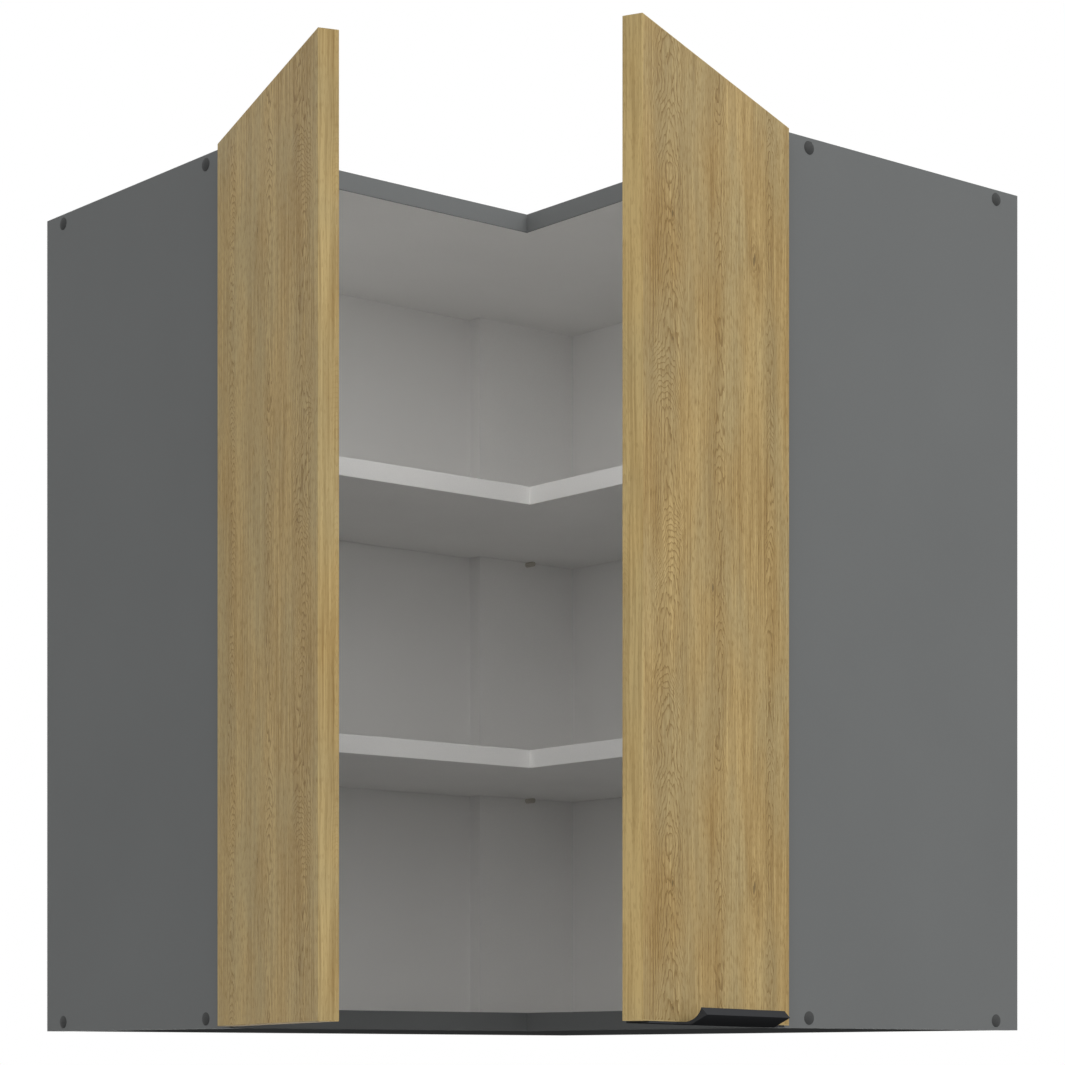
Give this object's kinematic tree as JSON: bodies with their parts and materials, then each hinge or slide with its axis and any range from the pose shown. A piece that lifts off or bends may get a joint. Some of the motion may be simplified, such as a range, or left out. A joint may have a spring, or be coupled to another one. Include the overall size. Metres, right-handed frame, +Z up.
{
  "type": "corner wall cabinet",
  "caption": "L-shaped wall-hung corner kitchen cabinet with two oak-faced doors, L-shaped shelves, concealed hinges, an edge pull and hidden wall hangers.",
  "frame": {"origin": "where the two walls of the room corner meet, at the level of the cabinet's underside", "axes": "+Z up; the left leg runs to -X along one wall with its front facing -Y, the right leg runs to -Y along the other with its front facing -X"},
  "size_m": [0.7084, 0.7313, 0.7165],
  "materials": {
    "graphite_board": "matte melamine-faced chipboard, graphite outside, pale grey inside",
    "pale_board": "matte melamine-faced chipboard, pale grey",
    "graphite_edging": "matte edge band",
    "pale_edging": "matte edge band",
    "hardboard": "painted hardboard, pale grey front, brown rear",
    "oak_board": "oak decor on chipboard, vertical grain, fine pores",
    "oak_edging": "oak decor edge band",
    "plated_steel": "nickel-plated pressed steel",
    "zinc_steel": "zinc-plated steel",
    "beech": "turned beech, fluted",
    "dark_cap": "moulded plastic, graphite",
    "pale_plastic": "moulded plastic, pale grey",
    "black_profile": "matt black anodised extrusion",
    "clear_bumper": "soft clear polyurethane"
  },
  "bodies": {
    "cabinet": {"bottom_board": "graphite_board", "bottom_edging": "graphite_edging", "carcass_screws": "zinc_steel", "corner_stiffener": "pale_board", "left_arm_pins": "plated_steel", "left_arm_screws": "zinc_steel", "left_back_nails": "zinc_steel", "left_back_panel": "hardboard", "left_hanger_adjusters": "zinc_steel", "left_hanger_body": "pale_plastic", "left_hanger_hook": "zinc_steel", "left_hanger_screws": "zinc_steel", "left_hinge_arms": "plated_steel", "left_hinge_plates": "plated_steel", "left_plate_screws": "zinc_steel", "left_side_edging": "graphite_edging", "left_side_panel": "graphite_board", "lower_shelf": "pale_board", "lower_shelf_edging": "pale_edging", "right_arm_pins": "plated_steel", "right_arm_screws": "zinc_steel", "right_back_nails": "zinc_steel", "right_back_panel": "hardboard", "right_hanger_adjusters": "zinc_steel", "right_hanger_body": "pale_plastic", "right_hanger_hook": "zinc_steel", "right_hanger_screws": "zinc_steel", "right_hinge_arms": "plated_steel", "right_hinge_plates": "plated_steel", "right_plate_screws": "zinc_steel", "right_side_edging": "graphite_edging", "right_side_panel": "graphite_board", "screw_caps": "dark_cap", "shelf_pins": "plated_steel", "stiffener_dowels": "beech", "top_board": "graphite_board", "top_edging": "graphite_edging", "upper_shelf": "pale_board", "upper_shelf_edging": "pale_edging"},
    "left_door": {"left_cup_pins": "plated_steel", "left_cup_screws": "zinc_steel", "left_door": "oak_board", "left_door_bumpers": "clear_bumper", "left_door_edging": "oak_edging", "left_hinge_cups": "plated_steel"},
    "right_door": {"right_cup_pins": "plated_steel", "right_cup_screws": "zinc_steel", "right_door": "oak_board", "right_door_bumper": "clear_bumper", "right_door_edging": "oak_edging", "right_door_pull": "black_profile", "right_door_pull_screws": "zinc_steel", "right_hinge_cups": "plated_steel"},
    "left_links": {"left_hinge_links": "plated_steel"},
    "right_links": {"right_hinge_links": "plated_steel"}
  },
  "joints": [
    {"name": "left_door_swing", "type": "hinge", "parent": "cabinet", "child": "left_door", "pos_m": [-0.5985, -0.2918, 0.358], "axis": [0, 0, 1], "range_deg": [0, 109.5]},
    {"name": "right_door_swing", "type": "hinge", "parent": "cabinet", "child": "right_door", "pos_m": [-0.2918, -0.5985, 0.358], "axis": [0, 0, -1], "range_deg": [0, 114.5]},
    {"name": "left_link_swing", "type": "hinge", "parent": "cabinet", "child": "left_links", "pos_m": [-0.577, -0.2875, 0.358], "axis": [0, 0, 1], "range_deg": [0, 153.92]},
    {"name": "right_link_swing", "type": "hinge", "parent": "cabinet", "child": "right_links", "pos_m": [-0.2875, -0.577, 0.358], "axis": [0, 0, -1], "range_deg": [0, 156.31]}
  ],
  "couplings": [
    {"joint": "left_link_swing", "follows": "left_door_swing", "ratio": 1.4056},
    {"joint": "right_link_swing", "follows": "right_door_swing", "ratio": 1.3651}
  ]
}
